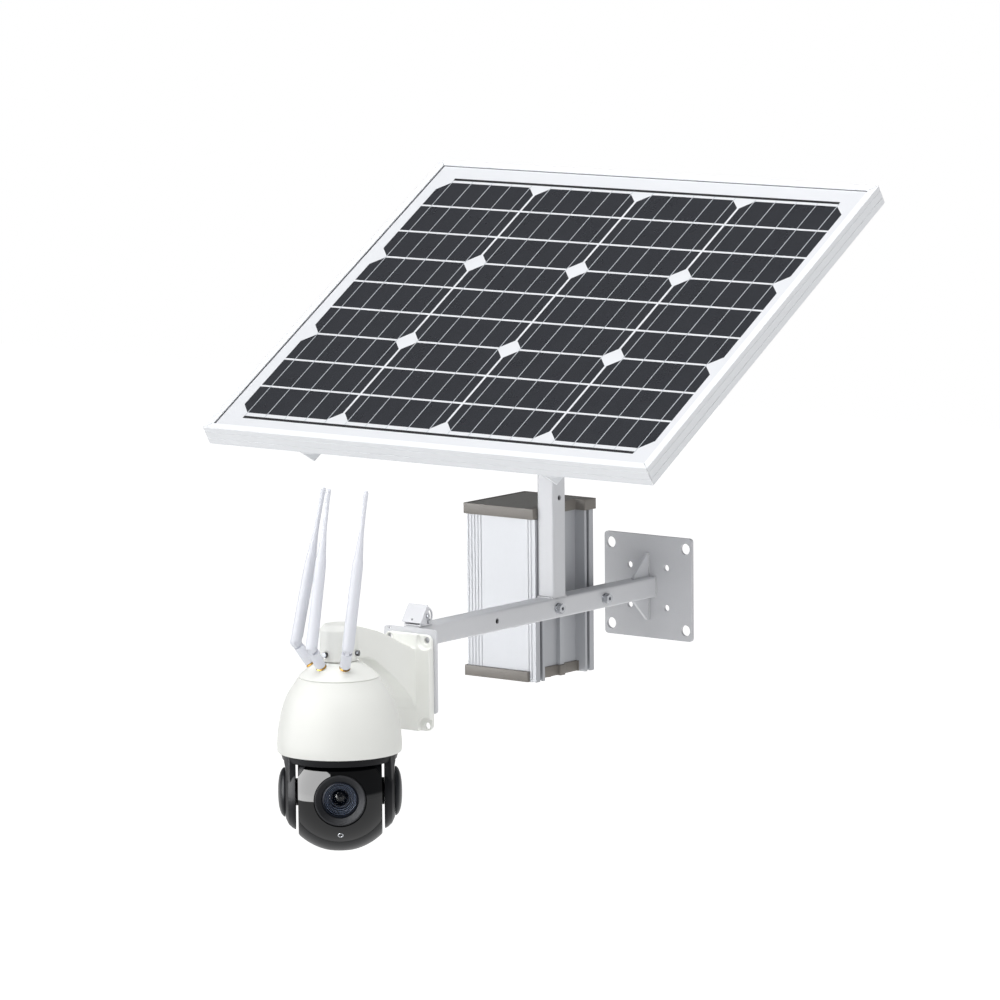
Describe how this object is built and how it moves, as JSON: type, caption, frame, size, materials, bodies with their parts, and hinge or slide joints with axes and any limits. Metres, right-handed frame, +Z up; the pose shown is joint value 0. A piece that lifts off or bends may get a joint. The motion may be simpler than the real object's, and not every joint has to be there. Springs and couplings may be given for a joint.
{
  "type": "solar-powered security camera",
  "caption": "Solar-powered pan and tilt security camera on a square-tube wall arm, with a tilting framed solar panel, a slotted battery box and folding antennas.",
  "frame": {"origin": "centre of the wall plate's back face, on the wall", "axes": "+Y into the wall, so the arm reaches out along -Y; +X to the right of someone facing the wall; +Z up"},
  "size_m": [0.668, 0.7165, 0.7454],
  "materials": {
    "light_steel": "light grey satin paint",
    "pale_steel": "near-white satin paint",
    "bolt_steel": "zinc-plated fasteners, shafts and gears",
    "anodised_aluminium": "clear anodised, satin",
    "taupe_plastic": "grey-brown moulded, satin",
    "battery_wrap": "heat-shrunk film",
    "circuit_board": "solder-masked board",
    "clear_glass": "clear",
    "solar_cells": "dark blue-grey cells on a white laminate",
    "cast_white": "off-white powder coat",
    "black_plastic": "black moulded, satin",
    "dark_window": "polished infrared-dark window",
    "gold_brass": "gold-plated",
    "antenna_white": "white moulded"
  },
  "bodies": {
    "bracket": {"wall_plate": "light_steel", "gusset_top": "light_steel", "gusset_bottom": "light_steel", "support_arm": "light_steel", "panel_post": "light_steel", "camera_plate": "pale_steel", "slot_bolt_front": "bolt_steel", "slot_bolt_rear": "bolt_steel", "battery_case": "anodised_aluminium", "battery_top_cap": "taupe_plastic", "battery_bottom_cap": "taupe_plastic", "battery_pack": "battery_wrap", "charge_controller": "circuit_board", "post_head": "light_steel", "tilt_pivot_bolt": "bolt_steel", "tilt_lock_bolt": "bolt_steel", "accessory_base": "light_steel", "accessory_pivot_bolt": "bolt_steel", "accessory_lock_bolt": "bolt_steel", "camera_bracket": "cast_white", "neck_screw_left": "bolt_steel", "neck_screw_right": "bolt_steel", "dome_cap": "cast_white", "dome_shell": "cast_white", "pan_deck": "black_plastic", "pan_motor": "bolt_steel", "antenna_nut_left": "gold_brass", "antenna_nut_middle": "gold_brass", "antenna_nut_right": "gold_brass"},
    "solar_panel": {"panel_yoke": "light_steel", "panel_frame_left": "anodised_aluminium", "panel_frame_front": "anodised_aluminium", "panel_frame_right": "anodised_aluminium", "panel_frame_rear": "anodised_aluminium", "panel_glass": "clear_glass", "panel_backsheet": "solar_cells", "junction_box": "black_plastic", "junction_box_lid": "black_plastic", "panel_rail_left": "anodised_aluminium", "panel_rail_right": "anodised_aluminium", "panel_crossbar": "light_steel"},
    "accessory_head": {"accessory_yoke": "pale_steel"},
    "pan_head": {"pan_yoke": "black_plastic", "pan_gear": "bolt_steel", "ear_cover_left": "black_plastic", "ear_cover_right": "black_plastic"},
    "pinion": {"pan_pinion": "bolt_steel"},
    "tilt_head": {"ball_shell": "black_plastic", "front_window": "dark_window", "lens_bezel": "black_plastic", "tilt_motor": "bolt_steel", "tilt_axle": "bolt_steel"},
    "zoom_barrel": {"lens_barrel": "black_plastic", "lens_glass": "clear_glass"},
    "swivel_left": {"antenna_knuckle_left": "antenna_white"},
    "antenna_left": {"antenna_whip_left": "antenna_white"},
    "swivel_middle": {"antenna_knuckle_middle": "antenna_white"},
    "antenna_middle": {"antenna_whip_middle": "antenna_white"},
    "swivel_right": {"antenna_knuckle_right": "antenna_white"},
    "antenna_right": {"antenna_whip_right": "antenna_white"}
  },
  "joints": [
    {"name": "panel_tilt", "type": "hinge", "parent": "bracket", "child": "solar_panel", "pos_m": [0, -0.2017, 0.2788], "axis": [1, 0, 0], "range_deg": [-31.4, 28]},
    {"name": "accessory_tilt", "type": "hinge", "parent": "bracket", "child": "accessory_head", "pos_m": [0, -0.4657, 0.0243], "axis": [1, 0, 0], "range_deg": [-60, 5]},
    {"name": "camera_pan", "type": "hinge", "parent": "bracket", "child": "pan_head", "pos_m": [0, -0.6152, -0.1], "axis": [0, 0, 1], "range_deg": [-216.5, 138.5]},
    {"name": "pan_pinion_spin", "type": "hinge", "parent": "bracket", "child": "pinion", "pos_m": [0.042, -0.6152, -0.083], "axis": [0, 0, 1], "range_deg": [-600, 925]},
    {"name": "camera_tilt", "type": "hinge", "parent": "pan_head", "child": "tilt_head", "pos_m": [0, -0.6152, -0.1648], "axis": [0.7771, 0.6293, 0], "range_deg": [-5, 90]},
    {"name": "lens_zoom", "type": "slide", "parent": "tilt_head", "child": "zoom_barrel", "axis": [-0.6293, 0.7771, 0], "range_m": [0, 0.006]},
    {"name": "antenna_swivel_left", "type": "hinge", "parent": "bracket", "child": "swivel_left", "pos_m": [-0.03104, -0.63945, -0.00256], "axis": [-0.4406, -0.3443, 0.829], "range_deg": [-25, 25]},
    {"name": "antenna_fold_left", "type": "hinge", "parent": "swivel_left", "child": "antenna_left", "pos_m": [-0.03897, -0.64565, 0.01236], "axis": [-0.6178, 0.7863, -0.0018], "range_deg": [-45, 15]},
    {"name": "antenna_swivel_middle", "type": "hinge", "parent": "bracket", "child": "swivel_middle", "pos_m": [0, -0.65459, -0.00256], "axis": [0, -0.5592, 0.829], "range_deg": [-25, 25]},
    {"name": "antenna_fold_middle", "type": "hinge", "parent": "swivel_middle", "child": "antenna_middle", "pos_m": [0, -0.66465, 0.01236], "axis": [-1, 0, 0], "range_deg": [-45, 15]},
    {"name": "antenna_swivel_right", "type": "hinge", "parent": "bracket", "child": "swivel_right", "pos_m": [0.03104, -0.63945, -0.00256], "axis": [0.4406, -0.3443, 0.829], "range_deg": [-25, 25]},
    {"name": "antenna_fold_right", "type": "hinge", "parent": "swivel_right", "child": "antenna_right", "pos_m": [0.03897, -0.64565, 0.01236], "axis": [-0.7468, -0.653, 0.1258], "range_deg": [-33, 15]}
  ],
  "couplings": [
    {"joint": "pan_pinion_spin", "follows": "camera_pan", "ratio": -4.25}
  ]
}
